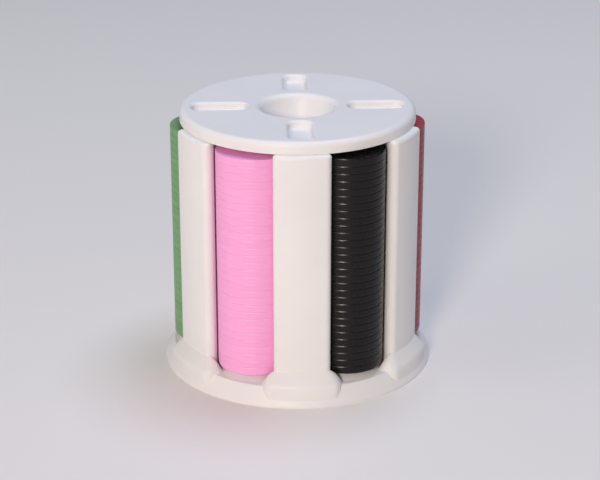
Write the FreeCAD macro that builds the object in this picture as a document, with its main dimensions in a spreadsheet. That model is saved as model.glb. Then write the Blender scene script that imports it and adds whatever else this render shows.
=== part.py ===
import FreeCAD, Part
import math
import os
import Sketcher

# Disc tower: a round base, a six-bay tower, a lift-off lid and six columns of discs.
# Millimetres, standing on z = 0, front panel facing -Y.

# Driving sizes
SIZES = [
    ("disc_diameter", 20.4, "one disc"),
    ("disc_thickness", 2.06, "one disc"),
    ("disc_bevel", 0.10, "how far a disc's edge bevel comes in"),
    ("disc_edge", 0.24, "how high a disc's edge bevel is"),
    ("bay_gap", 0.4, "disc edge to bay wall"),
    ("bay_web", 3.8, "wall between neighbouring bays"),
    ("disc_proud", 0.6, "how far the discs stand out of the panels"),
    ("lip_hold", 0.9, "how far each lip covers a disc"),
    ("lip_round", 1.7, "rounding of the lip edges"),
    ("headroom", 1.6, "space above a full column"),
    ("panel_round", 0.8, "rounding of the panel tops"),
    ("core_wall", 3.4, "wall between the bays and the core"),
    ("floor_height", 5.1, "height of the bay floors"),
    ("floor_reach", 0.7, "bay floors beyond the panels"),
    ("seat_radius", 6.0, "round seat under each column"),
    ("seat_height", 2.3, "seat above the bay floors"),
    ("rim_reach", 3.3, "rim beyond the panels"),
    ("rim_thickness", 0.9, "upright edge of the rim"),
    ("rim_round", 0.4, "rounding of the rim's upper edge"),
    ("boss_height", 4.0, "locating boss above the bay floors"),
    ("boss_gap", 0.1, "boss to core fit"),
    ("foot_reach", 2.5, "foot beyond the panels"),
    ("foot_gap", 0.05, "foot to panel fit"),
    ("foot_lift", 0.6, "upright foot face above the bay floors"),
    ("foot_rise", 3.2, "height of the sloping foot top"),
    ("foot_angle", 33.0, "degrees that a foot spans"),
    ("foot_round", 1.5, "rounding of the foot ends"),
    ("foot_crease", 0.5, "rounding where the foot top starts"),
    ("lid_inset", 2.05, "lid edge inside the panels"),
    ("lid_thickness", 3.3, "plate of the lid"),
    ("lid_round", 1.5, "rounding of the lid's top edge"),
    ("plug_gap", 0.3, "plug to core fit"),
    ("plug_length", 9.0, "plug below the lid plate"),
    ("cup_inset", 0.3, "mouth of the finger cup inside the plug's side"),
    ("plug_wall", 3.7, "wall of the plug at the cup's floor"),
    ("cup_floor", 1.6, "floor of the finger cup"),
    ("cup_round", 2.0, "rounding of the cup's rim"),
    ("cup_corner", 3.0, "rounding of the cup's floor"),
    ("grip_near", 3.6, "grip recess beyond the cup's mouth"),
    ("grip_edge", 3.5, "grip recess inside the lid edge"),
    ("grip_width", 6.4, "width of a grip recess"),
    ("grip_depth", 2.2, "depth of a grip recess"),
    ("grip_corner", 2.4, "corner rounding of a grip recess"),
    ("grip_cove", 1.1, "rounding of a grip recess at its floor"),
    ("grip_lip", 0.9, "rounding of a grip recess at the top face"),
]

# Columns of discs: colour name and direction in degrees from +X
COLUMNS = [("black", -60), ("red", 0), ("blue", 60), ("yellow", 120), ("green", 180), ("pink", 240)]
GROUPS = ["lower", "middle", "upper"]
DISCS_PER_GROUP = 10
GRIPS = 4

# Sizes that follow from the driving ones
FOLLOWING = [
    ("bay_radius", "disc_diameter / 2 + bay_gap"),
    ("bay_circle", "disc_diameter + 2 * bay_gap + bay_web"),
    ("tower_radius", "bay_circle + disc_diameter / 2 - disc_proud"),
    ("mouth_width", "disc_diameter - 2 * lip_hold"),
    ("mouth_reach", "tower_radius + disc_diameter"),
    ("stack_height", f"disc_thickness * {DISCS_PER_GROUP * len(GROUPS)}"),
    ("stack_start", "floor_height + seat_height"),
    ("tower_height", "seat_height + stack_height + headroom"),
    ("tower_top", "floor_height + tower_height"),
    ("core_bore", "bay_circle - bay_radius - core_wall"),
    ("floor_radius", "tower_radius + floor_reach"),
    ("rim_radius", "tower_radius + rim_reach"),
    ("boss_radius", "core_bore - boss_gap"),
    ("boss_top", "floor_height + boss_height"),
    ("foot_radius", "tower_radius + foot_reach"),
    ("foot_inner", "tower_radius + foot_gap"),
    ("foot_root", "tower_radius - bay_web"),
    ("foot_straight", "floor_height + foot_lift"),
    ("foot_top", "foot_straight + foot_rise"),
    ("slope_reach", "foot_radius + foot_reach"),
    ("slope_over", "foot_top + foot_rise"),
    ("lid_radius", "tower_radius - lid_inset"),
    ("lid_top", "tower_top + lid_thickness"),
    ("plug_radius", "core_bore - plug_gap"),
    ("plug_end", "tower_top - plug_length"),
    ("cup_mouth", "plug_radius - cup_inset"),
    ("cup_foot", "plug_radius - plug_wall"),
    ("cup_end", "plug_end + cup_floor"),
    ("grip_inner", "cup_mouth + grip_near"),
    ("grip_outer", "lid_radius - grip_edge"),
    ("grip_half", "grip_width / 2"),
    ("grip_floor", "lid_top - grip_depth"),
]

doc = FreeCAD.newDocument("disc_tower")
sheet = doc.addObject("Spreadsheet::Sheet", "Sizes")
for row, (alias, value, note) in enumerate(SIZES, start=1):
    sheet.set(f"A{row}", alias)
    sheet.set(f"B{row}", str(value))
    sheet.setAlias(f"B{row}", alias)
    sheet.set(f"C{row}", note)
for row, (alias, formula) in enumerate(FOLLOWING, start=len(SIZES) + 1):
    sheet.set(f"A{row}", alias)
    sheet.set(f"B{row}", "=" + formula)
    sheet.setAlias(f"B{row}", alias)
doc.recompute()


# Helpers
def size(alias):
    return float(sheet.get(alias))


def new_body(label):
    return doc.addObject("PartDesign::Body", label)


def origin(body, role):
    """One of a body's own origin planes or axes."""
    return next(item for item in body.Origin.OriginFeatures if item.Role == role)


def new_sketch(body, name, plane, height=None):
    """A sketch on an origin plane, raised to a named height."""
    sketch = body.newObject("Sketcher::SketchObject", name)
    sketch.AttachmentSupport = [(origin(body, plane), "")]
    sketch.MapMode = "FlatFace"
    if height:
        sketch.setExpression("AttachmentOffset.Base.z", "Sizes." + height)
    return sketch


def bind(sketch, kind, *where, to):
    """A dimension that reads its length from the sheet."""
    index = sketch.addConstraint(Sketcher.Constraint(kind, *where, size(to)))
    sketch.setExpression(f"Constraints[{index}]", "Sizes." + to)


def coordinate(name):
    """A signed length; "-name" lies on the negative side and None on the axis."""
    if not name:
        return 0.0
    return -size(name[1:]) if name.startswith("-") else size(name)


def pin(sketch, line, name, kind, axis):
    """Hold the start of a line at a named distance from an axis of the sketch."""
    if not name:
        sketch.addConstraint(Sketcher.Constraint("PointOnObject", line, 1, axis))
    elif name.startswith("-"):
        bind(sketch, kind, line, 1, -1, 1, to=name[1:])
    else:
        bind(sketch, kind, -1, 1, line, 1, to=name)


def outline(sketch, corners):
    """A closed run of straight lines whose corners name their two lengths."""
    points = [FreeCAD.Vector(coordinate(x), coordinate(y), 0) for x, y in corners]
    following = points[1:] + points[:1]
    for start, end in zip(points, following):
        sketch.addGeometry(Part.LineSegment(start, end))
    for line in range(len(points)):
        sketch.addConstraint(Sketcher.Constraint("Coincident", line, 2, (line + 1) % len(points), 1))
    for line, (x, y) in enumerate(corners):
        pin(sketch, line, x, "DistanceX", -2)
        pin(sketch, line, y, "DistanceY", -1)


def revolve(body, name, sketch):
    turned = body.newObject("PartDesign::Revolution", name)
    turned.Profile = sketch
    turned.ReferenceAxis = (sketch, ["V_Axis"])
    turned.Angle = 360
    return turned


def groove_round(body, name, sketch):
    """A cut turned all the way round the upright axis."""
    groove = body.newObject("PartDesign::Groove", name)
    groove.Profile = sketch
    groove.ReferenceAxis = (sketch, ["V_Axis"])
    groove.Angle = 360
    return groove


def pocket_through(body, name, sketch):
    hole = body.newObject("PartDesign::Pocket", name)
    hole.Profile = sketch
    hole.Type = "ThroughAll"
    return hole


def repeat(body, name, feature, count):
    """Copies of a feature round the body's upright axis."""
    pattern = body.newObject("PartDesign::PolarPattern", name)
    pattern.Originals = [feature]
    pattern.Axis = (origin(body, "Z_Axis"), [""])
    pattern.Angle = 360
    pattern.Occurrences = count
    body.Tip = pattern
    return pattern


def soften(body, name, radius, test):
    """Round the edges of the body's last feature that pass the test."""
    doc.recompute()
    last = body.Tip
    picked = [f"Edge{i}" for i, edge in enumerate(last.Shape.Edges, start=1) if test(edge)]
    if not picked:
        raise ValueError("no edge to round for " + name)
    fillet = body.newObject("PartDesign::Fillet", name)
    fillet.Base = (last, picked)
    fillet.setExpression("Radius", "Sizes." + radius)
    body.Tip = fillet
    return fillet


def near(value, alias):
    return abs(value - size(alias)) < 0.01


def reach(point):
    """Distance of a point from the upright axis."""
    return math.hypot(point.x, point.y)


def ring_at(radius, height):
    """Edges that run round the upright axis at this radius and height."""
    def test(edge):
        if not isinstance(edge.Curve, Part.Circle):
            return False
        centre = edge.Curve.Center
        return reach(centre) < 0.01 and near(edge.Curve.Radius, radius) and near(centre.z, height)
    return test


def upright(edge):
    """Straight edges that stand on end."""
    return isinstance(edge.Curve, Part.Line) and abs(edge.Curve.Direction.z) > 0.99


def upright_at(radius):
    """Straight edges that stand on end at this distance from the upright axis."""
    return lambda edge: upright(edge) and near(reach(edge.Vertexes[0].Point), radius)


# Base: rim, sloping skirt, bay floors and locating boss, turned from one profile
base = new_body("base")
base_profile = new_sketch(base, "base_profile", "XZ_Plane")
outline(base_profile, [
    (None, None), ("rim_radius", None), ("rim_radius", "rim_thickness"), ("floor_radius", "floor_height"),
    ("boss_radius", "floor_height"), ("boss_radius", "boss_top"), (None, "boss_top"),
])
revolve(base, "base_turning", base_profile)
soften(base, "rim_softened", "rim_round", ring_at("rim_radius", "rim_thickness"))

# Six round seats that hold the columns clear of the bay floors
seat_plan = new_sketch(base, "seat_plan", "XY_Plane", "floor_height")
seat_centre = FreeCAD.Vector(size("bay_circle"), 0, 0)
seat_plan.addGeometry(Part.Circle(seat_centre, FreeCAD.Vector(0, 0, 1), size("seat_radius")))
seat_plan.addConstraint(Sketcher.Constraint("PointOnObject", 0, 3, -1))
bind(seat_plan, "DistanceX", -1, 1, 0, 3, to="bay_circle")
bind(seat_plan, "Radius", 0, to="seat_radius")
seat = base.newObject("PartDesign::Pad", "seat")
seat.Profile = seat_plan
seat.setExpression("Length", "Sizes.seat_height")
repeat(base, "seats", seat, len(COLUMNS))

# Six feet that hug the panels, rounded at their ends, with tops that slope up to the panels
foot_profile = new_sketch(base, "foot_profile", "YZ_Plane")
outline(foot_profile, [
    ("foot_root", "rim_thickness"), ("foot_radius", "rim_thickness"), ("foot_radius", "foot_top"),
    ("foot_inner", "foot_top"), ("foot_inner", "floor_height"), ("foot_root", "floor_height"),
])
foot = revolve(base, "foot", foot_profile)
foot.setExpression("Angle", "Sizes.foot_angle")
foot.Midplane = True
repeat(base, "feet", foot, len(COLUMNS))
soften(base, "foot_ends", "foot_round", upright_at("foot_radius"))
slope_profile = new_sketch(base, "slope_profile", "XZ_Plane")
outline(slope_profile, [
    ("foot_radius", "foot_straight"), ("slope_reach", "foot_straight"), ("slope_reach", "slope_over"),
    ("foot_inner", "slope_over"), ("foot_inner", "foot_top"),
])
groove_round(base, "foot_slopes", slope_profile)
soften(base, "foot_creases", "foot_crease", ring_at("foot_radius", "foot_straight"))

# Tower: a cylinder with a hollow core and six keyhole bays
tower = new_body("tower")
tower_plan = new_sketch(tower, "tower_plan", "XY_Plane", "floor_height")
tower_plan.addGeometry(Part.Circle(FreeCAD.Vector(), FreeCAD.Vector(0, 0, 1), size("tower_radius")))
tower_plan.addGeometry(Part.Circle(FreeCAD.Vector(), FreeCAD.Vector(0, 0, 1), size("core_bore")))
for circle, radius in enumerate(["tower_radius", "core_bore"]):
    tower_plan.addConstraint(Sketcher.Constraint("Coincident", circle, 3, -1, 1))
    bind(tower_plan, "Radius", circle, to=radius)
tower_pad = tower.newObject("PartDesign::Pad", "tower_column")
tower_pad.Profile = tower_plan
tower_pad.setExpression("Length", "Sizes.tower_height")

bay_plan = new_sketch(tower, "bay_plan", "XY_Plane", "tower_top")
half = size("mouth_width") / 2
bay_centre = FreeCAD.Vector(size("bay_circle"), 0, 0)
open_angle = math.asin(half / size("bay_radius"))
bay_circle = Part.Circle(bay_centre, FreeCAD.Vector(0, 0, 1), size("bay_radius"))
upper = FreeCAD.Vector(size("bay_circle") + size("bay_radius") * math.cos(open_angle), half, 0)
lower = FreeCAD.Vector(upper.x, -half, 0)
upper_out = FreeCAD.Vector(size("mouth_reach"), half, 0)
lower_out = FreeCAD.Vector(size("mouth_reach"), -half, 0)
bay_plan.addGeometry(Part.ArcOfCircle(bay_circle, open_angle, 2 * math.pi - open_angle))
bay_plan.addGeometry(Part.LineSegment(lower, lower_out))
bay_plan.addGeometry(Part.LineSegment(lower_out, upper_out))
bay_plan.addGeometry(Part.LineSegment(upper_out, upper))
for first, second in [((0, 2), (1, 1)), ((1, 2), (2, 1)), ((2, 2), (3, 1)), ((3, 2), (0, 1))]:
    bay_plan.addConstraint(Sketcher.Constraint("Coincident", *first, *second))
bay_plan.addConstraint(Sketcher.Constraint("Horizontal", 1))
bay_plan.addConstraint(Sketcher.Constraint("Horizontal", 3))
bay_plan.addConstraint(Sketcher.Constraint("PointOnObject", 0, 3, -1))
bay_plan.addConstraint(Sketcher.Constraint("Symmetric", 2, 1, 2, 2, -1))
bind(bay_plan, "DistanceX", -1, 1, 0, 3, to="bay_circle")
bind(bay_plan, "DistanceX", -1, 1, 2, 2, to="mouth_reach")
bind(bay_plan, "DistanceY", 2, 1, 2, 2, to="mouth_width")
bind(bay_plan, "Radius", 0, to="bay_radius")
bay = pocket_through(tower, "bay", bay_plan)
repeat(tower, "bays", bay, len(COLUMNS))
soften(tower, "lips", "lip_round", upright_at("tower_radius"))
soften(tower, "panel_tops", "panel_round", ring_at("tower_radius", "tower_top"))

# Lid: plate and finger cup turned from one profile, with four grip recesses
lid = new_body("lid")
lid_profile = new_sketch(lid, "lid_profile", "XZ_Plane")
outline(lid_profile, [
    (None, "plug_end"), ("plug_radius", "plug_end"), ("plug_radius", "tower_top"),
    ("lid_radius", "tower_top"), ("lid_radius", "lid_top"), ("cup_mouth", "lid_top"),
    ("cup_foot", "cup_end"), (None, "cup_end"),
])
revolve(lid, "lid_turning", lid_profile)
soften(lid, "lid_edge", "lid_round", ring_at("lid_radius", "lid_top"))
soften(lid, "cup_rim", "cup_round", ring_at("cup_mouth", "lid_top"))
soften(lid, "cup_bottom", "cup_corner", ring_at("cup_foot", "cup_end"))

grip_plan = new_sketch(lid, "grip_plan", "XY_Plane", "lid_top")
outline(grip_plan, [
    ("grip_inner", "-grip_half"), ("grip_outer", "-grip_half"), ("grip_outer", "grip_half"),
    ("grip_inner", "grip_half"),
])
grip = lid.newObject("PartDesign::Pocket", "grip")
grip.Profile = grip_plan
grip.setExpression("Length", "Sizes.grip_depth")
repeat(lid, "grips", grip, GRIPS)


def in_grip(edge):
    """Edges that lie between the cup and the lid's own edge."""
    middle = reach(edge.BoundBox.Center)
    return size("cup_mouth") + size("cup_round") < middle < size("lid_radius") - size("lid_round")


def grip_edges_at(height):
    """Edges of the grip recesses that lie flat at this height."""
    def test(edge):
        return near(edge.BoundBox.ZMin, height) and near(edge.BoundBox.ZMax, height) and in_grip(edge)
    return test


soften(lid, "grip_corners", "grip_corner", lambda edge: upright(edge) and in_grip(edge))
soften(lid, "grip_coves", "grip_cove", grip_edges_at("grip_floor"))
soften(lid, "grip_lips", "grip_lip", grip_edges_at("lid_top"))

# Discs: one disc with bevelled edges, repeated up each bay in three groups of ten
across = size("disc_diameter") / 2
thick = size("disc_thickness")
inset = across - size("disc_bevel")
bevel_top = size("disc_edge")
lower_half = [(0, 0), (inset, 0), (across, bevel_top)]
upper_half = [(across, thick - bevel_top), (inset, thick), (0, thick), (0, 0)]
section = Part.Face(Part.makePolygon([FreeCAD.Vector(x, 0, z) for x, z in lower_half + upper_half]))
disc = section.revolve(FreeCAD.Vector(), FreeCAD.Vector(0, 0, 1), 360)
groups = []
for colour, degrees in COLUMNS:
    outward = FreeCAD.Rotation(FreeCAD.Vector(0, 0, 1), degrees).multVec(FreeCAD.Vector(1, 0, 0))
    centre = outward * size("bay_circle")
    for step, group in enumerate(GROUPS):
        stack = doc.addObject("Part::Feature", f"{colour}_discs_{group}")
        copies = []
        for index in range(DISCS_PER_GROUP):
            copy = disc.copy()
            copy.translate(FreeCAD.Vector(0, 0, index * thick))
            copies.append(copy)
        stack.Shape = Part.makeCompound(copies)
        lift = size("stack_start") + step * DISCS_PER_GROUP * thick
        stack.Placement.Base = centre + FreeCAD.Vector(0, 0, lift)
        groups.append(stack)

# Check every object and write one file for each piece
doc.recompute()
for item in doc.Objects:
    if "Invalid" in item.State or "Error" in item.State:
        raise ValueError("failed feature: " + item.Name)

os.makedirs("parts", exist_ok=True)
for piece in [base, tower, lid] + groups:
    if piece.Shape.isNull() or not piece.Shape.isValid():
        raise ValueError("bad shape: " + piece.Label)
    piece.Shape.exportStep(f"parts/{piece.Label}.step")
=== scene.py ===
# %% [markdown]
# A white tower that keeps flat coloured discs in six upright bays, under a lift-off lid.
# Most of its shapes are finished solids already. This lesson gives them their finishes, models a softer base,
# and sets the light and the camera.
# We load the solids first.

# %% Load the solids
import math

import bmesh
import bpy
from mathutils import Matrix


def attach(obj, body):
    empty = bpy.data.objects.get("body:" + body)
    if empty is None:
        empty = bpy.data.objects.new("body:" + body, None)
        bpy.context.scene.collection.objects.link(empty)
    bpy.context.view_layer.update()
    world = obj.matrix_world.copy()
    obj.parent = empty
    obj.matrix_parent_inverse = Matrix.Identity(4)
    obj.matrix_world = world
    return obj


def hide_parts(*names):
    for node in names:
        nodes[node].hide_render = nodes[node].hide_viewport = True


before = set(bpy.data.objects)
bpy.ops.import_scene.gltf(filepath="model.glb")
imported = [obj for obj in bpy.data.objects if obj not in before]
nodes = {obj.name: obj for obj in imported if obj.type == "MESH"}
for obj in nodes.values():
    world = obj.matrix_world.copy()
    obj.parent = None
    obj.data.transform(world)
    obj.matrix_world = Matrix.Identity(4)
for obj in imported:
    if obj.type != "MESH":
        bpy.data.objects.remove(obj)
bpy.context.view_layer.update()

print("solids:", len(nodes))

# %% [markdown]
# Every finish here is a small node tree round one Principled shader.
# A few helpers keep each tree short: one adds a node and sets its values, one joins two sockets.


# %% Helpers for node trees
def new_finish(name):
    """A material with only a Principled shader, and that shader."""
    finish = bpy.data.materials.new(name)
    finish.use_nodes = True
    shader = finish.node_tree.nodes["Principled BSDF"]
    return finish, shader


def add_node(finish, kind, label, **values):
    """A node of this kind with some of its inputs or settings filled in."""
    node = finish.node_tree.nodes.new(kind)
    node.label = label
    for key, value in values.items():
        if hasattr(node, key):
            setattr(node, key, value)
        else:
            node.inputs[key.replace("_", " ")].default_value = value
    return node


def join(finish, out_socket, in_socket):
    """A link from one node's output to another's input."""
    finish.node_tree.links.new(out_socket, in_socket)


print("helpers: new_finish, add_node, join")

# %% [markdown]
# The white pieces are moulded plastic with a fine satin grain.
# A flat colour would look like paper, so three layers of noise are used: broad clouds that tint the white by
# a hair, small specks that change the gloss, and a fine bump for the grain left by the mould.

# %% White moulded plastic
LIGHT_WHITE = (0.845, 0.832, 0.825)
DEEP_WHITE = (0.815, 0.803, 0.797)
WHITE_SOLIDS = ("base", "tower", "lid")


def moulded_white(name, light, deep):
    """White plastic whose tint drifts between two whites."""
    finish, shader = new_finish(name)
    place = add_node(finish, "ShaderNodeTexCoord", "place on the object")
    clouds = add_node(finish, "ShaderNodeTexNoise", "broad tint", Scale=45.0, Detail=3.0, Roughness=0.55)
    tint = add_node(finish, "ShaderNodeValToRGB", "two whites")
    low, high = tint.color_ramp.elements
    low.position = 0.35
    high.position = 0.65
    low.color = (*deep, 1.0)
    high.color = (*light, 1.0)
    join(finish, place.outputs["Object"], clouds.inputs["Vector"])
    join(finish, clouds.outputs["Fac"], tint.inputs["Fac"])
    join(finish, tint.outputs["Color"], shader.inputs["Base Color"])

    specks = add_node(finish, "ShaderNodeTexNoise", "gloss specks", Scale=420.0, Detail=4.0, Roughness=0.6)
    gloss = add_node(finish, "ShaderNodeMapRange", "gloss range", From_Min=0.3, From_Max=0.7,
                     To_Min=0.40, To_Max=0.54)
    join(finish, place.outputs["Object"], specks.inputs["Vector"])
    join(finish, specks.outputs["Fac"], gloss.inputs["Value"])
    join(finish, gloss.outputs["Result"], shader.inputs["Roughness"])

    grain = add_node(finish, "ShaderNodeTexNoise", "mould grain", Scale=2600.0, Detail=2.0, Roughness=0.5)
    bump = add_node(finish, "ShaderNodeBump", "grain height", Strength=0.12, Distance=0.00005)
    join(finish, place.outputs["Object"], grain.inputs["Vector"])
    join(finish, grain.outputs["Fac"], bump.inputs["Height"])
    join(finish, bump.outputs["Normal"], shader.inputs["Normal"])
    shader.inputs["Specular IOR Level"].default_value = 0.42
    return finish


white = moulded_white("white_moulding", LIGHT_WHITE, DEEP_WHITE)
for name in WHITE_SOLIDS:
    nodes[name].data.materials.clear()
    nodes[name].data.materials.append(white)
print("white solids:", len(WHITE_SOLIDS))

# %% [markdown]
# The real feet have no sharp corner: their tops and ends melt into the lips and sweep down to the bay floors.
# The solid base has plain feet, so a softer moulding is modelled here. A foot starts as three hulls, one for
# its body and one for the rounded end at each side. Sizes are in millimetres and degrees: distance from the
# upright axis, direction from the middle of the foot, and height.

# %% Rough foot
MM = 0.001
FOOT_FRONT = 37.2
FOOT_BACK = 33.8
FOOT_BOTTOM = 0.5
FOOT_EDGE = 5.75
FOOT_TOP = 10.1
FOOT_PROFILE = [
    (FOOT_BACK, FOOT_BOTTOM), (FOOT_FRONT, FOOT_BOTTOM), (FOOT_FRONT, FOOT_EDGE), (FOOT_BACK, FOOT_TOP),
]
ARC_STEP = 3.0
FOOT_ARC = [ARC_STEP * step for step in range(-4, 5)]
END_START = 11.5
END_CORNERS = [
    # the front edge, which turns inwards
    (FOOT_FRONT, END_START, FOOT_EDGE), (FOOT_FRONT, 14.5, FOOT_EDGE), (36.5, 16.3, 5.9),
    # the tip, sunk in the bay floor
    (34.05, 19.7, 4.5), (32.0, 19.4, 4.5),
    # the rounded ridge between the tip and the top
    (34.2, 17.7, 6.6), (33.2, 17.5, 6.6), (34.5, 15.4, 8.3), (33.0, 15.3, 8.3),
    # the top, where it meets the body of the foot
    (FOOT_BACK, END_START, FOOT_TOP),
]


def at_angle(radius, degrees, height):
    """A point in metres from its distance to the upright axis, its direction and its height."""
    turn = math.radians(degrees)
    return (radius * MM * math.cos(turn), radius * MM * math.sin(turn), height * MM)


def add_hull(shape, corners):
    """The tightest closed skin round these corners."""
    bmesh.ops.convex_hull(shape, input=[shape.verts.new(at_angle(*corner)) for corner in corners])


rough = bmesh.new()
add_hull(rough, [(radius, degrees, height) for degrees in FOOT_ARC for radius, height in FOOT_PROFILE])
for side in (-1.0, 1.0):
    add_hull(rough, [(radius, side * degrees, height) for radius, degrees, top in END_CORNERS
                     for height in (FOOT_BOTTOM, top)])
bmesh.ops.recalc_face_normals(rough, faces=rough.faces[:])
rough_mesh = bpy.data.meshes.new("rough_foot")
rough.to_mesh(rough_mesh)
rough.free()
print("faces on the rough foot:", len(rough_mesh.polygons))

# %% [markdown]
# The three hulls overlap. A voxel remesh turns them into a single form, and relaxing its points melts the
# corners, as a mould with soft radii would. The finished foot is then spun round to the other five places.

# %% Soft feet
BAYS = 6
VOXEL = 0.3
RELAX_STEPS = 12
RELAX_SHARE = 0.5
CENTRE = (0.0, 0.0, 0.0)
UP = (0.0, 0.0, 1.0)

rough_foot = bpy.data.objects.new("rough_foot", rough_mesh)
bpy.context.scene.collection.objects.link(rough_foot)
melt = rough_foot.modifiers.new("one form", "REMESH")
melt.mode = "VOXEL"
melt.voxel_size = VOXEL * MM
melted_foot = rough_foot.evaluated_get(bpy.context.evaluated_depsgraph_get())
joined_mesh = bpy.data.meshes.new_from_object(melted_foot)
bpy.data.objects.remove(rough_foot)

base_shape = bmesh.new()
base_shape.from_mesh(joined_mesh)
for step in range(RELAX_STEPS):
    bmesh.ops.smooth_vert(base_shape, verts=base_shape.verts[:], factor=RELAX_SHARE,
                          use_axis_x=True, use_axis_y=True, use_axis_z=True)
half_bay = Matrix.Rotation(math.pi / BAYS, 3, "Z")
bmesh.ops.rotate(base_shape, verts=base_shape.verts[:], cent=CENTRE, matrix=half_bay)
one_foot = base_shape.verts[:] + base_shape.edges[:] + base_shape.faces[:]
bmesh.ops.spin(base_shape, geom=one_foot, cent=CENTRE, axis=UP, angle=math.tau * (BAYS - 1) / BAYS,
               steps=BAYS - 1, use_duplicate=True)
print("faces on the feet:", len(base_shape.faces))

# %% [markdown]
# The rest of the base is a turned form, so its half section is spun round the upright axis: a thin rim, a
# sloping skirt, the level bay floors and the boss that centres the tower. Six low cones, cut off level at the
# top, are the seats that lift the columns off the floors.

# %% Base moulding
RIM_RADIUS = 37.9
FLOOR_HEIGHT = 5.1
BOSS_RADIUS = 10.9
BOSS_TOP = 9.1
BASE_SECTION = [
    # the underside and the rounded rim
    (0.0, 0.0), (RIM_RADIUS, 0.0), (RIM_RADIUS, 0.55), (37.83, 0.80), (37.70, 1.05), (37.52, 1.51),
    # the skirt, up to the rounded edge of the bay floors
    (35.45, 4.86), (35.36, 5.02), (35.2, FLOOR_HEIGHT),
    # the floors and the boss
    (BOSS_RADIUS, FLOOR_HEIGHT), (BOSS_RADIUS, BOSS_TOP), (0.0, BOSS_TOP),
]
TURNING_STEPS = 144
BAY_CIRCLE = 25.0
SEAT_RADIUS = 6.0
SEAT_FOOT = 10.0
SEAT_TOP = 7.4
SEAT_BOTTOM = 5.0
SEAT_SIDES = 64
MERGE_DISTANCE = 0.001
SHARP_ANGLE = 40.0

section = [base_shape.verts.new((radius * MM, 0.0, height * MM)) for radius, height in BASE_SECTION]
lines = [base_shape.edges.new(pair) for pair in zip(section, section[1:])]
bmesh.ops.spin(base_shape, geom=section + lines, cent=CENTRE, axis=UP, angle=math.tau, steps=TURNING_STEPS,
               use_merge=True)
for bay in range(BAYS):
    spot = at_angle(BAY_CIRCLE, 360.0 * bay / BAYS, (SEAT_BOTTOM + SEAT_TOP) / 2)
    bmesh.ops.create_cone(base_shape, cap_ends=True, segments=SEAT_SIDES, radius1=SEAT_FOOT * MM,
                          radius2=SEAT_RADIUS * MM, depth=(SEAT_TOP - SEAT_BOTTOM) * MM,
                          matrix=Matrix.Translation(spot))
bmesh.ops.remove_doubles(base_shape, verts=base_shape.verts[:], dist=MERGE_DISTANCE * MM)
bmesh.ops.recalc_face_normals(base_shape, faces=base_shape.faces[:])
for face in base_shape.faces:
    face.smooth = True
base_mesh = bpy.data.meshes.new("base_moulding")
base_shape.to_mesh(base_mesh)
base_shape.free()
base_mesh.set_sharp_from_angle(angle=math.radians(SHARP_ANGLE))
base_mesh.materials.append(white)
base_moulding = bpy.data.objects.new("base_moulding", base_mesh)
bpy.context.scene.collection.objects.link(base_moulding)
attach(base_moulding, "body")
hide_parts("base")
print("faces on the base:", len(base_mesh.polygons))

# %% [markdown]
# Each column is a pile of separate discs, and no two discs of a batch have quite the same shade.
# Height on the object is divided by the thickness of a disc, and the whole number that comes out feeds a
# white noise: every disc gets its own value, with no need for separate materials. A finer noise roughens the
# gloss and raises a faint bump, for the scuffs of handling.

# %% Disc plastic
DISC_THICKNESS = 2.06
SMOOTHER_SPOTS = 0.05
ROUGHER_SPOTS = 0.09


def disc_plastic(name, colour, spread, rough, shine):
    """Plastic whose shade changes by up to this spread from disc to disc."""
    finish, shader = new_finish(name)
    place = add_node(finish, "ShaderNodeTexCoord", "place on the object")
    split = add_node(finish, "ShaderNodeSeparateXYZ", "height")
    above = add_node(finish, "ShaderNodeMath", "above the seats", operation="SUBTRACT")
    above.inputs[1].default_value = SEAT_TOP * MM
    count = add_node(finish, "ShaderNodeMath", "discs up", operation="DIVIDE")
    count.inputs[1].default_value = DISC_THICKNESS * MM
    whole = add_node(finish, "ShaderNodeMath", "which disc", operation="FLOOR")
    lot = add_node(finish, "ShaderNodeTexWhiteNoise", "shade of this disc", noise_dimensions="1D")
    join(finish, place.outputs["Object"], split.inputs["Vector"])
    join(finish, split.outputs["Z"], above.inputs[0])
    join(finish, above.outputs["Value"], count.inputs[0])
    join(finish, count.outputs["Value"], whole.inputs[0])
    join(finish, whole.outputs["Value"], lot.inputs["W"])

    shade = add_node(finish, "ShaderNodeValToRGB", "batch shades")
    darkest, lightest = shade.color_ramp.elements
    darkest.color = (*[c * (1.0 - spread) for c in colour], 1.0)
    lightest.color = (*[min(1.0, c * (1.0 + spread)) for c in colour], 1.0)
    join(finish, lot.outputs["Value"], shade.inputs["Fac"])
    join(finish, shade.outputs["Color"], shader.inputs["Base Color"])

    scuffs = add_node(finish, "ShaderNodeTexNoise", "handling scuffs", Scale=700.0, Detail=4.0,
                      Roughness=0.65)
    gloss = add_node(finish, "ShaderNodeMapRange", "gloss range", From_Min=0.3, From_Max=0.7,
                     To_Min=rough - SMOOTHER_SPOTS, To_Max=rough + ROUGHER_SPOTS)
    join(finish, place.outputs["Object"], scuffs.inputs["Vector"])
    join(finish, scuffs.outputs["Fac"], gloss.inputs["Value"])
    join(finish, gloss.outputs["Result"], shader.inputs["Roughness"])
    bump = add_node(finish, "ShaderNodeBump", "scuff height", Strength=0.08, Distance=0.00004)
    join(finish, scuffs.outputs["Fac"], bump.inputs["Height"])
    join(finish, bump.outputs["Normal"], shader.inputs["Normal"])
    shader.inputs["Specular IOR Level"].default_value = shine
    return finish


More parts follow.
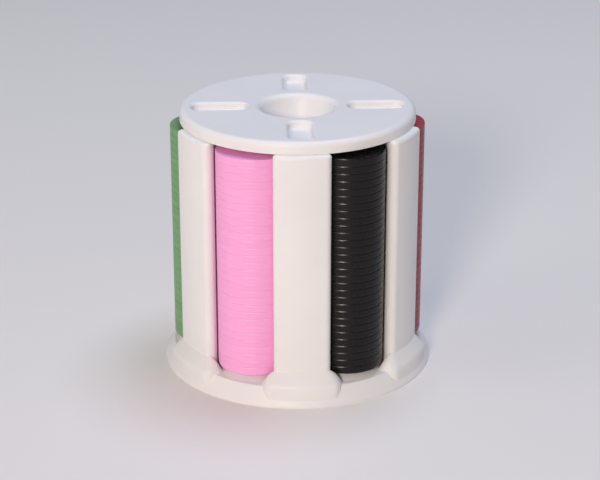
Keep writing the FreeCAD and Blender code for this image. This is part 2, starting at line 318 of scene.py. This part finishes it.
# colour, spread of shades, roughness and shine of each batch
DISC_COLOURS = {
    "pink": ((0.96, 0.41, 0.73), 0.015, 0.38, 0.40),
    "black": ((0.008, 0.007, 0.007), 0.10, 0.27, 0.24),
    "green": ((0.165, 0.35, 0.155), 0.05, 0.36, 0.40),
    "red": ((0.37, 0.036, 0.056), 0.05, 0.34, 0.36),
    "blue": ((0.05, 0.15, 0.50), 0.05, 0.34, 0.40),
    "yellow": ((0.82, 0.58, 0.07), 0.03, 0.36, 0.40),
}
for colour, (rgb, spread, rough, shine) in DISC_COLOURS.items():
    plastic = disc_plastic(colour + "_disc_plastic", rgb, spread, rough, shine)
    for group in ("lower", "middle", "upper"):
        mesh = nodes[f"{colour}_discs_{group}"].data
        mesh.materials.clear()
        mesh.materials.append(plastic)
print("disc colours:", len(DISC_COLOURS))

# %% [markdown]
# The floor is one large pale sheet. A studio sweep would do the same, but the camera looks down far enough
# that a flat floor fills the picture.

# %% Floor
FLOOR_REACH = 4.0
PALE_GREY = (0.84, 0.80, 0.76, 1.0)

sheet = bmesh.new()
bmesh.ops.create_grid(sheet, x_segments=2, y_segments=2, size=FLOOR_REACH)
floor_mesh = bpy.data.meshes.new("studio_floor")
sheet.to_mesh(floor_mesh)
sheet.free()
floor = bpy.data.objects.new("studio_floor", floor_mesh)
bpy.context.scene.collection.objects.link(floor)
floor_paint, floor_shader = new_finish("pale_floor")
floor_shader.inputs["Base Color"].default_value = PALE_GREY
floor_shader.inputs["Roughness"].default_value = 0.6
floor_mesh.materials.append(floor_paint)
print("floor:", floor.dimensions[:2])

# %% [markdown]
# The photograph is lit by one warm lamp from the front left, with cool light from above.
# A warm key lamp, a cool top lamp, a weak lamp on the left and a dim sky give the same: bright upright walls,
# a cooler top face and a soft shadow to the right.

# %% Light
MIDDLE = (0.0, 0.0, 0.035)
SKY_COLOUR = (0.90, 0.87, 0.94, 1.0)
SKY_STRENGTH = 0.22


def area_lamp(name, place, width, watts, colour):
    """A round soft lamp that points at the middle of the tower."""
    lamp = bpy.data.lights.new(name, "AREA")
    lamp.shape = "DISK"
    lamp.size = width
    lamp.energy = watts
    lamp.color = colour
    holder = bpy.data.objects.new(name, lamp)
    bpy.context.scene.collection.objects.link(holder)
    holder.location = place
    away = [place[i] - MIDDLE[i] for i in range(3)]
    flat = math.hypot(away[0], away[1])
    holder.rotation_euler = (math.atan2(flat, away[2]), 0.0, math.atan2(away[0], -away[1]))
    return holder


lamps = [
    area_lamp("key_lamp", place=(-0.335, -1.160, 0.516), width=0.26, watts=9.2, colour=(1.0, 0.87, 0.77)),
    area_lamp("top_lamp", place=(0.20, 0.20, 1.20), width=0.7, watts=8.0, colour=(0.67, 0.79, 1.0)),
    area_lamp("left_lamp", place=(-1.15, -0.30, 0.45), width=0.6, watts=2.0, colour=(1.0, 0.97, 0.94)),
]
sky = bpy.data.worlds.new("studio_sky")
sky.use_nodes = True
backdrop = sky.node_tree.nodes["Background"]
backdrop.inputs["Color"].default_value = SKY_COLOUR
backdrop.inputs["Strength"].default_value = SKY_STRENGTH
bpy.context.scene.world = sky
bpy.context.scene.view_settings.view_transform = "Standard"
print("lamps:", [lamp.name for lamp in lamps])

# %% [markdown]
# The camera was solved from the photograph: the ellipses of the rim and the lid give its height and tilt, and
# the way the columns close in towards the floor gives the length of the lens.

# %% Camera
LENS_LENGTH = 109.64
CAMERA_PLACE = (-0.01753, -0.48015, 0.22536)
CAMERA_TILT = 68.303
CAMERA_TURN = -2.17

lens = bpy.data.cameras.new("photo_camera")
lens.sensor_width = 36.0
lens.sensor_fit = "HORIZONTAL"
lens.lens = LENS_LENGTH
lens.clip_start = 0.01
camera = bpy.data.objects.new("photo_camera", lens)
bpy.context.scene.collection.objects.link(camera)
camera.location = CAMERA_PLACE
camera.rotation_euler = (math.radians(CAMERA_TILT), 0.0, math.radians(CAMERA_TURN))
bpy.context.scene.camera = camera
print("lens in millimetres:", LENS_LENGTH)
